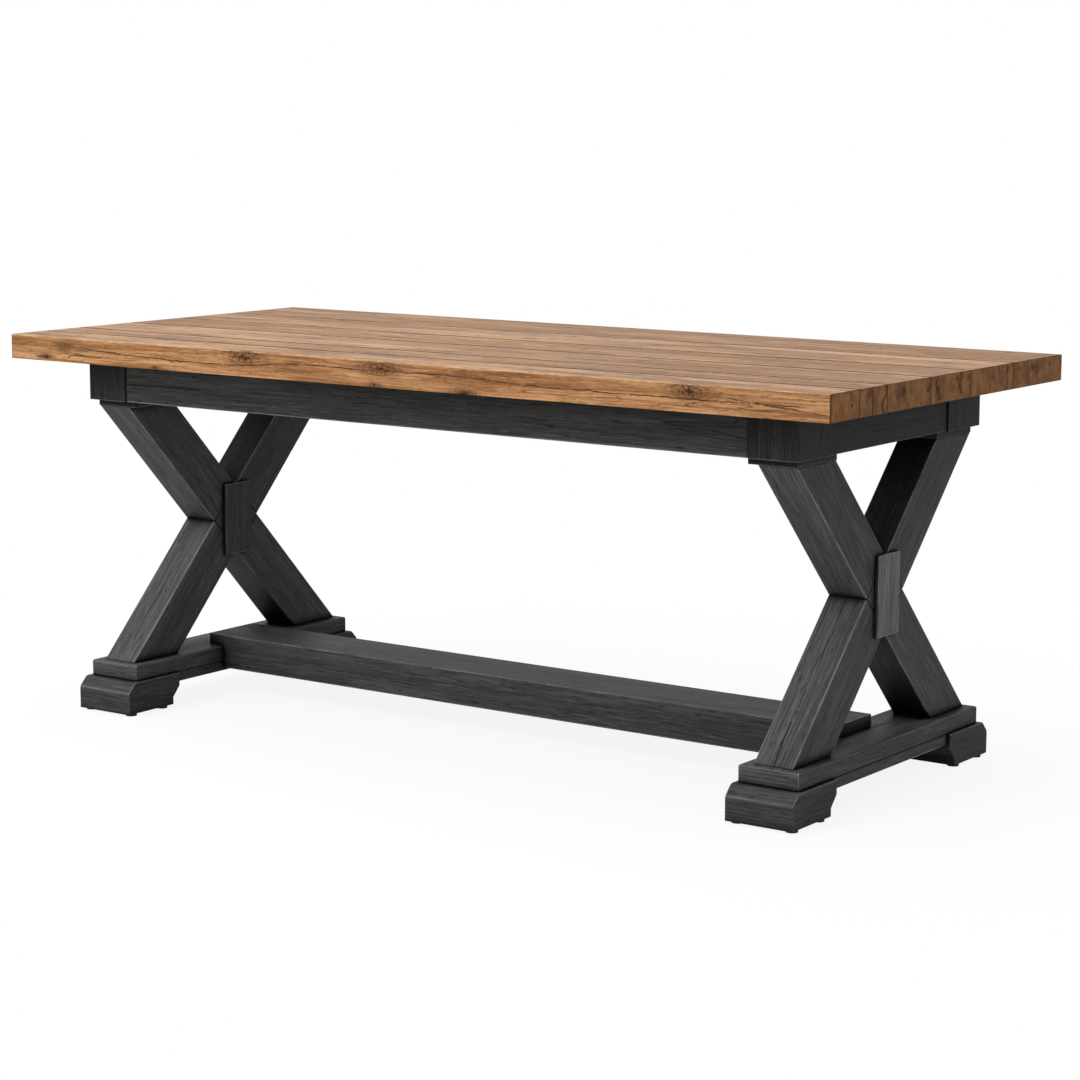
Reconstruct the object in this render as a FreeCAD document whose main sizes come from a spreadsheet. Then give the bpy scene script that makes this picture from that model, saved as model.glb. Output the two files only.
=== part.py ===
import FreeCAD, Part
import Sketcher
import os

# Sawbuck dining table, in millimetres. A plank top lies on a framed apron; at each end four arms
# cross in an X between the apron and a sled with bracket feet; one low stretcher joins the sleds.
#
# X runs along the table, Y across it (the front is at -Y), Z is up. The origin is on the floor
# under the middle of the table.

# ---------------------------------------------------------------------------------------------
# Driving sizes: alias, value, what it measures
# ---------------------------------------------------------------------------------------------

SIZES = [
    ("table_height", "762", "floor to the upper face of the top"),
    ("top_length", "1864", "planks, end to end"),
    ("top_thick", "48", "planks"),
    ("plank_width_1", "95", "front plank"),
    ("plank_width_2", "93", "second plank"),
    ("plank_width_3", "156", "third plank"),
    ("plank_width_4", "146", "fourth plank"),
    ("plank_width_5", "170", "fifth plank"),
    ("plank_width_6", "200", "back plank"),
    ("plank_bevel", "2", "V-groove bevel on the upper long edges of a plank"),
    ("side_overhang", "97", "top beyond the corner blocks, front and back"),
    ("end_overhang", "116.5", "top beyond the corner blocks, at each end"),
    ("apron_height", "83", "rails and corner blocks"),
    ("apron_thick", "24", "rails"),
    ("long_rail_recess", "2", "long rail behind the front of its blocks"),
    ("end_rail_recess", "3", "end rail behind the outer face of its blocks"),
    ("block_width", "98", "corner block along the table"),
    ("block_depth", "126", "corner block across the table"),
    ("tenon_length", "26", "stub tenon on an apron rail"),
    ("tenon_thick", "12", "stub tenon"),
    ("tenon_shoulder", "12", "rail above and below the tenon"),
    ("batten_width", "80", "cross batten under the planks"),
    ("batten_thick", "22", "cross batten"),
    ("batten_housing", "8", "depth that a batten's end enters a long rail"),
    ("batten_inset", "197.5", "from the corner blocks to the middle of an end batten"),
    ("spline_width", "24", "loose spline in the joint between two planks"),
    ("spline_thick", "8", "loose spline"),
    ("spline_stop", "60", "spline's end from the planks' end"),
    ("plate_thick", "12", "cap plate between an arm and its block"),
    ("plate_width", "97", "cap plate along the table"),
    ("plate_depth", "133", "cap plate across the table"),
    ("plate_setback", "17", "cap plate behind the front of its block"),
    ("arm_width", "95", "arm, square to its length, in the plane of the X"),
    ("arm_thick", "78", "arm along the table"),
    ("cover_width", "79", "cover plate across the table"),
    ("cover_height", "148", "cover plate"),
    ("cover_thick", "8", "cover plate"),
    ("cover_arris", "1", "eased edges of a cover plate's face"),
    ("sled_width", "120", "sled rail along the table"),
    ("sled_reach", "14", "sled rail beyond the arms' outer corners"),
    ("sled_cap_thick", "32", "upper layer of the sled rail"),
    ("sled_core_thick", "20", "lower layer of the sled rail"),
    ("foot_width", "136", "foot along the table"),
    ("foot_length", "150", "foot across the table, at its top"),
    ("foot_height", "63", "foot"),
    ("foot_toe", "31", "foot beyond the end of the sled rail"),
    ("toe_run", "19", "slope on the toe's upper edge, across the table"),
    ("toe_drop", "19", "slope on the toe's upper edge, downwards"),
    ("toe_radius", "12", "rounding above and below the toe's slope"),
    ("heel_upright", "27", "height of the heel's upper upright"),
    ("heel_inset", "19", "run of the heel's slope"),
    ("heel_low", "15", "height of the heel's lower upright"),
    ("glide_radius", "11", "glide"),
    ("glide_thick", "5", "glide"),
    ("glide_inset", "14", "glide's middle from the sides of the foot"),
    ("glide_setback", "21", "glide's middle from the toe and the heel of the foot"),
    ("stretcher_width", "136", "stretcher across the table"),
    ("stretcher_height", "69", "stretcher between the sleds"),
    ("tongue_thick", "22", "tongue that lies on the sled rail"),
    ("tongue_length", "40", "tongue"),
    ("tongue_shoulder", "2", "tongue behind each side of the stretcher"),
    ("arris", "1.5", "eased edges of the timbers"),
    ("plank_arris", "1", "eased edges around a plank's ends"),
    ("sled_rounding", "4", "rounded upper edges of the sled rail"),
    ("key_thick", "12", "loose tenon, across its joint"),
    ("key_width", "46", "loose tenon of an arm, along the table"),
    ("foot_key_width", "84", "loose tenon of a foot, along the table"),
    ("key_in_arm", "30", "loose tenon inside the end of an arm"),
    ("key_in_block", "26", "loose tenon inside a corner block"),
    ("key_in_sled", "22", "loose tenon inside the sled rail, below an arm"),
    ("key_in_joint", "26", "loose tenon to each side of an arm's joint with the core"),
    ("key_pitch", "35", "from an arm's loose tenon to the foot's, across the table"),
    ("key_in_foot", "24", "loose tenon inside a foot"),
    ("key_over_foot", "18", "loose tenon inside the sled rail, above a foot"),
    ("screw_radius", "3", "wood screw"),
    ("screw_head_width", "10", "hexagon head of a wood screw, across its corners"),
    ("screw_head_thick", "4", "hexagon head of a wood screw"),
    ("batten_screw_length", "50", "screw up through a batten"),
    ("batten_screw_reach", "25", "least distance from a batten's screw to a long rail"),
    ("batten_slot_length", "16", "slot around a batten's screw, so that the planks can move"),
    ("tongue_screw_length", "66", "screw up into a tongue"),
    ("tongue_screw_pitch", "80", "between the two screws of a tongue"),
    ("bore_clearance", "0.1", "hole around a screw, on the radius"),
    ("joint_clearance", "0.2", "around a tenon or a spline, and at the end of a screw"),
]

# Values worked out from the driving sizes: name, expression
LAYOUT = [
    ("top_width", "Sizes.plank_width_1 + Sizes.plank_width_2 + Sizes.plank_width_3"
                  " + Sizes.plank_width_4 + Sizes.plank_width_5 + Sizes.plank_width_6"),
    ("frame_x", "Sizes.top_length / 2 - Sizes.end_overhang - Sizes.block_width / 2"),
    ("apron_top", "Sizes.table_height - Sizes.top_thick"),
    ("apron_bottom", "Layout.apron_top - Sizes.apron_height"),
    ("plate_bottom", "Layout.apron_bottom - Sizes.plate_thick"),
    ("foot_top", "Sizes.glide_thick + Sizes.foot_height"),
    ("sled_top", "Layout.foot_top + Sizes.sled_cap_thick"),
    ("sled_bottom", "Layout.foot_top - Sizes.sled_core_thick"),
    ("block_front", "Layout.top_width / 2 - Sizes.side_overhang"),
    ("block_back", "Layout.block_front - Sizes.block_depth"),
    ("block_inner", "Layout.frame_x - Sizes.block_width / 2"),
    ("block_outer", "Layout.frame_x + Sizes.block_width / 2"),
    ("batten_out", "Layout.block_inner - Sizes.batten_inset"),
    ("long_rail_out", "Layout.block_front - Sizes.long_rail_recess"),
    ("long_rail_in", "Layout.long_rail_out - Sizes.apron_thick"),
    ("end_rail_out", "Layout.block_outer - Sizes.end_rail_recess"),
    ("end_rail_in", "Layout.end_rail_out - Sizes.apron_thick"),
    ("plate_front", "Layout.block_front - Sizes.plate_setback"),
    ("plate_back", "Layout.plate_front - Sizes.plate_depth"),
    ("arm_inner", "Layout.frame_x - Sizes.arm_thick / 2"),
    ("arm_outer", "Layout.frame_x + Sizes.arm_thick / 2"),
    ("arm_rise", "(Layout.plate_bottom - Layout.sled_top) / 2"),
    ("cross_z", "Layout.sled_top + Layout.arm_rise"),

    # An arm's outer corner is flush with the front of its cap plate. The lean is the arm's run
    # across the table for each unit of rise: with a half width w, it solves
    # lean * rise + w * sqrt(1 + lean ^ 2) = plate_front.
    ("arm_half", "Sizes.arm_width / 2"),
    ("arm_root", "sqrt(Layout.plate_front ^ 2 + Layout.arm_rise ^ 2 - Layout.arm_half ^ 2)"),
    ("arm_lean", "(Layout.plate_front * Layout.arm_rise - Layout.arm_half * Layout.arm_root)"
                 " / (Layout.arm_rise ^ 2 - Layout.arm_half ^ 2)"),
    ("arm_spread", "Layout.arm_lean * Layout.arm_rise"),
    ("notch_y", "Layout.plate_front - Layout.arm_spread"),
    ("notch_z", "Layout.notch_y / Layout.arm_lean"),
    ("arm_key_y", "Layout.arm_spread - Layout.arm_lean * Sizes.key_in_arm / 2"),

    ("sled_end", "Layout.plate_front + Sizes.sled_reach"),
    ("foot_front", "Layout.sled_end + Sizes.foot_toe"),
    ("foot_back", "Layout.foot_front - Sizes.foot_length"),
    ("heel_back", "Layout.foot_back + Sizes.heel_inset"),
    ("foot_key_y", "Layout.arm_key_y + Sizes.key_pitch"),
    ("sled_inner", "Layout.frame_x - Sizes.sled_width / 2"),
    ("tongue_end", "Layout.sled_inner + Sizes.tongue_length"),
    ("stretcher_top", "Layout.sled_top + Sizes.tongue_thick"),
    ("stretcher_bottom", "Layout.stretcher_top - Sizes.stretcher_height"),
]

ENDS = (("left", -1), ("right", 1))
SIDES = (("front", -1), ("back", 1))
LEVELS = (("upper", 1), ("lower", -1))
PAIR = (("low", -1), ("high", 1))
PLANKS = 6
BATTENS = (("left", -1), ("middle", 0), ("right", 1))

# Two points, or a point and a plane, nearer than this are at one place, in millimetres.
TOUCHING = 1e-6

doc = FreeCAD.newDocument("sawbuck_table")
sheet = doc.addObject("Spreadsheet::Sheet", "Sizes")
for row, (alias, number, meaning) in enumerate(SIZES, start=1):
    sheet.set(f"A{row}", meaning)
    sheet.set(f"B{row}", number)
    sheet.setAlias(f"B{row}", alias)
doc.recompute()

layout = doc.addObject("App::VarSet", "Layout")
for name, expression in LAYOUT:
    layout.addProperty("App::PropertyFloat", name)
    layout.setExpression(name, expression)
    doc.recompute()

nodes = []


# ---------------------------------------------------------------------------------------------
# Building blocks
# ---------------------------------------------------------------------------------------------

def finish(piece, name):
    """Name a finished sub-part, so that it is written to a file of that name."""
    piece.Label = name
    nodes.append(piece)
    return piece


def bind(item, **expressions):
    """Tie properties to expressions; a double underscore stands for a dot."""
    for path, expression in expressions.items():
        item.setExpression(path.replace("__", "."), expression)


def box(name, low, size):
    """A box from the expressions of its low corner and of its three sizes."""
    item = doc.addObject("Part::Box", name)
    bind(item, Length=size[0], Width=size[1], Height=size[2])
    bind(item, Placement__Base__x=low[0], Placement__Base__y=low[1], Placement__Base__z=low[2])
    return item


def box_with_slack(name, low, size, slack):
    """A box that is larger by the same slack on all its sides."""
    grown_low = [f"{corner} - {slack}" for corner in low]
    grown_size = [f"{side} + 2 * {slack}" for side in size]
    return box(name, grown_low, grown_size)


def leaning_box(name, middle, size, lean, slack):
    """A box about its middle that leans from upright towards +Y, larger all round by the slack."""
    long_x, long_y, long_z = [f"({side} + 2 * {slack})" for side in size]
    item = doc.addObject("Part::Box", name)
    item.Placement.Rotation = FreeCAD.Rotation(FreeCAD.Vector(-1, 0, 0), 1)
    bind(item, Length=long_x, Width=long_y, Height=long_z, Placement__Rotation__Angle=lean)
    bind(item, Placement__Base__x=f"{middle[0]} - {long_x} / 2",
         Placement__Base__y=f"{middle[1]} - {long_y} / 2 * cos({lean}) - {long_z} / 2 * sin({lean})",
         Placement__Base__z=f"{middle[2]} + {long_y} / 2 * sin({lean}) - {long_z} / 2 * cos({lean})")
    return item


def cylinder(name, foot, radius, height):
    """A cylinder that stands upright on its foot."""
    item = doc.addObject("Part::Cylinder", name)
    bind(item, Radius=radius, Height=height)
    bind(item, Placement__Base__x=foot[0], Placement__Base__y=foot[1], Placement__Base__z=foot[2])
    return item


def group(name, items):
    """Separate solids held together as one item."""
    item = doc.addObject("Part::Compound", name)
    item.Links = items
    return item


def cut(name, base, tools):
    """The base with all the tools taken out of it."""
    item = doc.addObject("Part::Cut", name)
    item.Base = base
    item.Tool = group(f"{name}_tools", tools)
    return item


def fuse(name, base, addition):
    """Two overlapping or touching solids as one."""
    item = doc.addObject("Part::Fuse", name)
    item.Base = base
    item.Tool = addition
    return item


def across(sign, expression):
    """The same distance to either side of the middle."""
    return f"{sign} * ({expression})"


def low_corner(sign, near, far):
    """Low end of a span from near to far, measured outwards on one side of the middle."""
    return f"{near}" if sign > 0 else f"-({far})"


def profile(name, plane, start, depth, corners):
    """A body made by padding a polygon: its corners are pairs of expressions in the plane."""
    body = doc.addObject("PartDesign::Body", name)
    sketch = body.newObject("Sketcher::SketchObject", f"{name}_outline")
    support = [item for item in body.Origin.OriginFeatures if item.Role == plane][0]
    sketch.AttachmentSupport = (support, [""])
    sketch.MapMode = "FlatFace"
    bind(sketch, AttachmentOffset__Base__z=start)
    spots = [[float(layout.evalExpression(text)) for text in corner] for corner in corners]
    for spot, following in zip(spots, spots[1:] + spots[:1]):
        line = Part.LineSegment(FreeCAD.Vector(*spot, 0), FreeCAD.Vector(*following, 0))
        sketch.addGeometry(line, False)
    for index, (spot, corner) in enumerate(zip(spots, corners)):
        following = (index + 1) % len(spots)
        sketch.addConstraint(Sketcher.Constraint("Coincident", index, 2, following, 1))
        for kind, number, expression in zip(("DistanceX", "DistanceY"), spot, corner):
            rule = sketch.addConstraint(Sketcher.Constraint(kind, -1, 1, index, 1, number))
            sketch.setExpression(f"Constraints[{rule}]", expression)
    pad = body.newObject("PartDesign::Pad", f"{name}_pad")
    pad.Profile = sketch
    bind(pad, Length=depth)
    body.Tip = pad
    doc.recompute()
    return body


def edges_where(shape, test):
    """Names of a shape's edges whose end points all pass the test."""
    found = []
    for number, edge in enumerate(shape.Edges, start=1):
        if all(test(vertex.Point) for vertex in edge.Vertexes):
            found.append(f"Edge{number}")
    return found


def edges_at_height(shape, expression):
    """Names of a shape's level edges at the height that an expression gives."""
    height = float(layout.evalExpression(expression))
    return edges_where(shape, lambda point: abs(point.z - height) < TOUCHING)


def edges_around_faces(shape):
    """Names of the edges around a shape's two faces that lie furthest apart along the table."""
    places = [vertex.X for vertex in shape.Vertexes]
    low = edges_where(shape, lambda point: point.x - min(places) < TOUCHING)
    return low + edges_where(shape, lambda point: max(places) - point.x < TOUCHING)


def edges_along(shape, axis):
    """Names of a shape's straight edges that run along a unit vector."""
    found = []
    for number, edge in enumerate(shape.Edges, start=1):
        first, last = edge.Vertexes[0].Point, edge.Vertexes[-1].Point
        if (last - first).cross(axis).Length < TOUCHING:
            found.append(f"Edge{number}")
    return found


def dress(body, kind, size, names):
    """Chamfer or fillet the named edges of a body's last feature."""
    base = body.Tip
    item = body.newObject(f"PartDesign::{kind}", f"{body.Name}_{kind.lower()}")
    item.Base = (base, names)
    bind(item, **{"Radius" if kind == "Fillet" else "Size": size})
    body.Tip = item
    doc.recompute()
    return item


AXES = {
    "XY_Plane": FreeCAD.Vector(0, 0, 1),
    "XZ_Plane": FreeCAD.Vector(0, 1, 0),
    "YZ_Plane": FreeCAD.Vector(1, 0, 0),
}


def timber(name, plane, start, depth, corners):
    """A padded polygon whose edges along its length are eased."""
    body = profile(name, plane, start, depth, corners)
    dress(body, "Chamfer", "Sizes.arris", edges_along(body.Tip.Shape, AXES[plane]))
    return body


def rectangle(low_x, high_x, low_y, high_y):
    """Corners of a rectangle, for profile()."""
    return [(low_x, low_y), (high_x, low_y), (high_x, high_y), (low_x, high_y)]


def screw(name, x, y, face_z, length):
    """A hexagon-head wood screw that points up, its head below the face at face_z."""
    head = doc.addObject("Part::Prism", f"{name}_head")
    head.Polygon = 6
    bind(head, Circumradius="Sizes.screw_head_width / 2", Height="Sizes.screw_head_thick")
    bind(head, Placement__Base__x=x, Placement__Base__y=y,
         Placement__Base__z=f"{face_z} - Sizes.screw_head_thick")
    shank = cylinder(f"{name}_shank", (x, y, face_z), "Sizes.screw_radius", length)
    return fuse(name, shank, head)


def screw_bore(name, x, y, face_z, length):
    """The round hole that a screw() turns in."""
    return cylinder(name, (x, y, face_z), "Sizes.screw_radius + Sizes.bore_clearance",
                    f"{length} + Sizes.joint_clearance")


# ---------------------------------------------------------------------------------------------
# Tabletop: six planks on three cross battens
# ---------------------------------------------------------------------------------------------

def plank_edge(index):
    """Y of the front edge of a plank, counted from 0 at the front."""
    before = [f"Sizes.plank_width_{number}" for number in range(1, index + 1)]
    return " + ".join(["-Layout.top_width / 2"] + before)


def batten_x(place):
    """X of the middle of a batten."""
    return across(place, "Layout.batten_out")


BATTEN_FACE = "Layout.apron_top - Sizes.batten_thick"

# The front plank lies over the overhang, out of the battens' reach: only its spline holds it.
FIRST_SCREWED_PLANK = 1


def batten_screw_spots(place):
    """A screw in the middle of each plank, or as near to it as the long rails let it be."""
    reach = "(Layout.long_rail_in - Sizes.batten_screw_reach)"
    for plank in range(FIRST_SCREWED_PLANK, PLANKS):
        middle = f"({plank_edge(plank)} + {plank_edge(plank + 1)}) / 2"
        yield plank, batten_x(place), f"min(max({middle}; -{reach}); {reach})"


def spline(name, seam, slack):
    """The spline in a seam, or with slack on every side the groove for it."""
    low = ("-Sizes.top_length / 2 + Sizes.spline_stop",
           f"{plank_edge(seam)} - Sizes.spline_width / 2",
           "Sizes.table_height - Sizes.top_thick / 2 - Sizes.spline_thick / 2")
    size = ("Sizes.top_length - 2 * Sizes.spline_stop", "Sizes.spline_width",
            "Sizes.spline_thick")
    return box_with_slack(name, low, size, slack)


def make_planks():
    for index in range(PLANKS):
        name = f"top_plank_{index + 1}"
        corners = rectangle(plank_edge(index), plank_edge(index + 1),
                            "Layout.apron_top", "Sizes.table_height")
        body = profile(f"{name}_board", "YZ_Plane", "-Sizes.top_length / 2",
                       "Sizes.top_length", corners)
        along = edges_along(body.Tip.Shape, AXES["YZ_Plane"])
        upper = edges_at_height(body.Tip.Shape, "Sizes.table_height")
        dress(body, "Chamfer", "Sizes.plank_bevel", [edge for edge in upper if edge in along])
        dress(body, "Chamfer", "Sizes.plank_arris", edges_around_faces(body.Tip.Shape))
        tools = []
        for seam in (index, index + 1):
            if 0 < seam < PLANKS:
                tools.append(spline(f"{name}_groove_{seam}", seam, "Sizes.joint_clearance"))
        for batten, place in BATTENS:
            for plank, spot_x, spot_y in batten_screw_spots(place):
                if plank == index:
                    tools.append(screw_bore(f"{name}_bore_{batten}", spot_x, spot_y,
                                            BATTEN_FACE, "Sizes.batten_screw_length"))
        finish(cut(name, body, tools), name)
    splines = [spline(f"plank_spline_{seam}", seam, "0") for seam in range(1, PLANKS)]
    finish(group("plank_splines", splines), "plank_splines")


def make_battens():
    screws = []
    for batten, place in BATTENS:
        name = f"top_batten_{batten}"
        reach = "(Layout.long_rail_in + Sizes.batten_housing)"
        board = box(f"{name}_board",
                    (f"{batten_x(place)} - Sizes.batten_width / 2", f"-{reach}", BATTEN_FACE),
                    ("Sizes.batten_width", f"2 * {reach}", "Sizes.batten_thick"))
        slots = []
        for plank, spot_x, spot_y in batten_screw_spots(place):
            slots.append(box(f"{name}_slot_{plank}",
                             (f"{spot_x} - Sizes.screw_radius - Sizes.bore_clearance",
                              f"{spot_y} - Sizes.batten_slot_length / 2", BATTEN_FACE),
                             ("2 * (Sizes.screw_radius + Sizes.bore_clearance)",
                              "Sizes.batten_slot_length", "Sizes.batten_thick")))
            screws.append(screw(f"{name}_screw_{plank}", spot_x, spot_y, BATTEN_FACE,
                                "Sizes.batten_screw_length"))
        finish(cut(name, board, slots), name)
    finish(group("batten_screws", screws), "batten_screws")


# ---------------------------------------------------------------------------------------------
# Apron: rails tenoned into corner blocks, cap plates below
# ---------------------------------------------------------------------------------------------

TENON_LOW_Z = "Layout.apron_bottom + Sizes.tenon_shoulder"
TENON_HEIGHT = "Sizes.apron_height - 2 * Sizes.tenon_shoulder"


def long_tenon(name, end, side, slack):
    """Tenon of a long rail in the block at one end and on one side of the table."""
    middle = "(Layout.long_rail_in + Sizes.apron_thick / 2)"
    low_y = f"{side} * {middle} - Sizes.tenon_thick / 2"
    low_x = low_corner(end, "Layout.block_inner", "Layout.block_inner + Sizes.tenon_length")
    size = ("Sizes.tenon_length", "Sizes.tenon_thick", TENON_HEIGHT)
    return box_with_slack(name, (low_x, low_y, TENON_LOW_Z), size, slack)


def end_tenon(name, end, side, slack):
    """Tenon of an end rail in the block at one end and on one side of the table."""
    middle = "(Layout.end_rail_in + Sizes.apron_thick / 2)"
    low_x = f"{end} * {middle} - Sizes.tenon_thick / 2"
    low_y = low_corner(side, "Layout.block_back", "Layout.block_back + Sizes.tenon_length")
    size = ("Sizes.tenon_thick", "Sizes.tenon_length", TENON_HEIGHT)
    return box_with_slack(name, (low_x, low_y, TENON_LOW_Z), size, slack)


def make_long_rails():
    for side_name, side in SIDES:
        name = f"apron_rail_{side_name}"
        low_y = low_corner(side, "Layout.long_rail_in", "Layout.long_rail_out")
        rail = timber(f"{name}_board", "YZ_Plane", "-Layout.block_inner",
                      "2 * Layout.block_inner",
                      rectangle(low_y, f"{low_y} + Sizes.apron_thick",
                                "Layout.apron_bottom", "Layout.apron_top"))
        for end_name, end in ENDS:
            tenon = long_tenon(f"{name}_tenon_{end_name}", end, side, "0")
            rail = fuse(f"{name}_with_{end_name}_tenon", rail, tenon)
        housings = []
        for batten, place in BATTENS:
            low_y = low_corner(side, "Layout.long_rail_in",
                               "Layout.long_rail_in + Sizes.batten_housing")
            housings.append(box(f"{name}_housing_{batten}",
                                (f"{batten_x(place)} - Sizes.batten_width / 2", low_y, BATTEN_FACE),
                                ("Sizes.batten_width", "Sizes.batten_housing",
                                 "Sizes.batten_thick")))
        finish(cut(name, rail, housings), name)


def make_end_rails():
    for end_name, end in ENDS:
        name = f"apron_rail_{end_name}"
        low_x = low_corner(end, "Layout.end_rail_in", "Layout.end_rail_out")
        rail = timber(f"{name}_board", "XZ_Plane", "-Layout.block_back",
                      "2 * Layout.block_back",
                      rectangle(low_x, f"{low_x} + Sizes.apron_thick",
                                "Layout.apron_bottom", "Layout.apron_top"))
        front = end_tenon(f"{name}_tenon_front", end, -1, "0")
        back = end_tenon(f"{name}_tenon_back", end, 1, "0")
        rail = fuse(f"{name}_with_front_tenon", rail, front)
        finish(fuse(name, rail, back), name)


def upright_key(name, end, middle_y, width, low_z, high_z, slack):
    """An upright loose tenon in the plane of an X frame, or with slack the mortise for it."""
    low = (f"{across(end, 'Layout.frame_x')} - {width} / 2",
           f"{middle_y} - Sizes.key_thick / 2", low_z)
    return box_with_slack(name, low, (width, "Sizes.key_thick", f"({high_z} - ({low_z}))"), slack)


def top_key(name, end, side, slack):
    """The loose tenon from an upper arm through its cap plate into the corner block."""
    return upright_key(name, end, across(side, "Layout.arm_key_y"), "Sizes.key_width",
                       "Layout.plate_bottom - Sizes.key_in_arm",
                       "(Layout.apron_bottom + Sizes.key_in_block)", slack)


def sled_key(name, end, side, slack):
    """The loose tenon from a lower arm into the sled rail."""
    return upright_key(name, end, across(side, "Layout.arm_key_y"), "Sizes.key_width",
                       "Layout.sled_top - Sizes.key_in_sled",
                       "(Layout.sled_top + Sizes.key_in_arm)", slack)


def foot_key(name, end, side, slack):
    """The loose tenon from the sled rail into a foot."""
    return upright_key(name, end, across(side, "Layout.foot_key_y"), "Sizes.foot_key_width",
                       "Layout.foot_top - Sizes.key_in_foot",
                       "(Layout.foot_top + Sizes.key_over_foot)", slack)


def make_corners():
    for end_name, end in ENDS:
        for side_name, side in SIDES:
            corner = f"{side_name}_{end_name}"
            name = f"corner_block_{corner}"
            low_x = low_corner(end, "Layout.block_inner", "Layout.block_outer")
            low_y = low_corner(side, "Layout.block_back", "Layout.block_front")
            block = timber(f"{name}_post", "XY_Plane", "Layout.apron_bottom",
                           "Sizes.apron_height",
                           rectangle(low_x, f"{low_x} + Sizes.block_width",
                                     low_y, f"{low_y} + Sizes.block_depth"))
            mortises = [top_key(f"{name}_key_mortise", end, side, "Sizes.joint_clearance"),
                        long_tenon(f"{name}_long_mortise", end, side, "Sizes.joint_clearance"),
                        end_tenon(f"{name}_end_mortise", end, side, "Sizes.joint_clearance")]
            finish(cut(name, block, mortises), name)

            name = f"cap_plate_{corner}"
            low_x = low_corner(end, "Layout.arm_outer - Sizes.plate_width", "Layout.arm_outer")
            low_y = low_corner(side, "Layout.plate_back", "Layout.plate_front")
            plate = box(f"{name}_board", (low_x, low_y, "Layout.plate_bottom"),
                        ("Sizes.plate_width", "Sizes.plate_depth", "Sizes.plate_thick"))
            mortise = top_key(f"{name}_mortise", end, side, "Sizes.joint_clearance")
            finish(cut(name, plate, [mortise]), name)


# ---------------------------------------------------------------------------------------------
# X frames: four arms on a diamond core, with a cover plate on each face of the crossing
# ---------------------------------------------------------------------------------------------

ARM_ANGLE = "atan(Layout.arm_lean)"


def joint_key(name, end, side, level, slack):
    """The loose tenon between an arm and the core, or with slack the mortise for it."""
    middle = (across(end, "Layout.frame_x"), f"{side} * Layout.notch_y / 2",
              f"Layout.cross_z + {level} * Layout.notch_z / 2")
    size = ("Sizes.key_width", "Sizes.key_thick", "2 * Sizes.key_in_joint")
    return leaning_box(name, middle, size, f"({level * side} * {ARM_ANGLE})", slack)


def make_arms():
    for end_name, end in ENDS:
        low_x = low_corner(end, "Layout.arm_inner", "Layout.arm_outer")
        for level_name, level in LEVELS:
            end_z, end_key = ("Layout.plate_bottom", top_key)
            if level < 0:
                end_z, end_key = ("Layout.sled_top", sled_key)
            for side_name, side in SIDES:
                name = f"{level_name}_arm_{side_name}_{end_name}"
                corners = [
                    (across(side, "Layout.plate_front"), end_z),
                    (across(side, "Layout.arm_spread - Layout.notch_y"), end_z),
                    ("0", f"Layout.cross_z + {level} * Layout.notch_z"),
                    (across(side, "Layout.notch_y"), "Layout.cross_z"),
                ]
                body = profile(f"{name}_timber", "YZ_Plane", low_x, "Sizes.arm_thick", corners)
                dress(body, "Chamfer", "Sizes.arris", edges_around_faces(body.Tip.Shape))
                mortises = [end_key(f"{name}_end_mortise", end, side, "Sizes.joint_clearance"),
                            joint_key(f"{name}_core_mortise", end, side, level,
                                      "Sizes.joint_clearance")]
                finish(cut(name, body, mortises), name)


def make_cores():
    for end_name, end in ENDS:
        name = f"crossing_core_{end_name}"
        corners = [
            ("-Layout.notch_y", "Layout.cross_z"),
            ("0", "Layout.cross_z - Layout.notch_z"),
            ("Layout.notch_y", "Layout.cross_z"),
            ("0", "Layout.cross_z + Layout.notch_z"),
        ]
        low_x = low_corner(end, "Layout.arm_inner", "Layout.arm_outer")
        body = profile(f"{name}_diamond", "YZ_Plane", low_x, "Sizes.arm_thick", corners)
        dress(body, "Chamfer", "Sizes.arris", edges_around_faces(body.Tip.Shape))
        mortises = []
        for side_name, side in SIDES:
            for level_name, level in LEVELS:
                mortises.append(joint_key(f"{name}_mortise_{level_name}_{side_name}", end, side,
                                          level, "Sizes.joint_clearance"))
        finish(cut(name, body, mortises), name)


def make_covers():
    low_y, high_y = "-Sizes.cover_width / 2", "Sizes.cover_width / 2"
    low_z, high_z = ("Layout.cross_z - Sizes.cover_height / 2",
                     "Layout.cross_z + Sizes.cover_height / 2")
    for end_name, end in ENDS:
        for face, near in (("inner", "Layout.arm_inner - Sizes.cover_thick"),
                           ("outer", "Layout.arm_outer")):
            low_x = low_corner(end, near, f"{near} + Sizes.cover_thick")
            name = f"cover_plate_{face}_{end_name}"
            plate = profile(name, "YZ_Plane", low_x, "Sizes.cover_thick",
                            rectangle(low_y, high_y, low_z, high_z))
            outwards = end if face == "outer" else -end
            shown = max(outwards * vertex.X for vertex in plate.Shape.Vertexes)
            dress(plate, "Chamfer", "Sizes.cover_arris",
                  edges_where(plate.Shape,
                              lambda point: abs(outwards * point.x - shown) < TOUCHING))
            finish(plate, name)


def make_keys():
    crossing, top, sled, foot = [], [], [], []
    for end_name, end in ENDS:
        for side_name, side in SIDES:
            corner = f"{side_name}_{end_name}"
            for level_name, level in LEVELS:
                crossing.append(joint_key(f"crossing_key_{level_name}_{corner}", end, side,
                                          level, "0"))
            top.append(top_key(f"block_key_{corner}", end, side, "0"))
            sled.append(sled_key(f"sled_key_{corner}", end, side, "0"))
            foot.append(foot_key(f"foot_key_{corner}", end, side, "0"))
    finish(group("crossing_tenons", crossing), "crossing_tenons")
    finish(group("block_tenons", top), "block_tenons")
    finish(group("sled_tenons", sled), "sled_tenons")
    finish(group("foot_tenons", foot), "foot_tenons")


# ---------------------------------------------------------------------------------------------
# Sleds: a two-layer rail on two bracket feet with glides
# ---------------------------------------------------------------------------------------------

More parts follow.
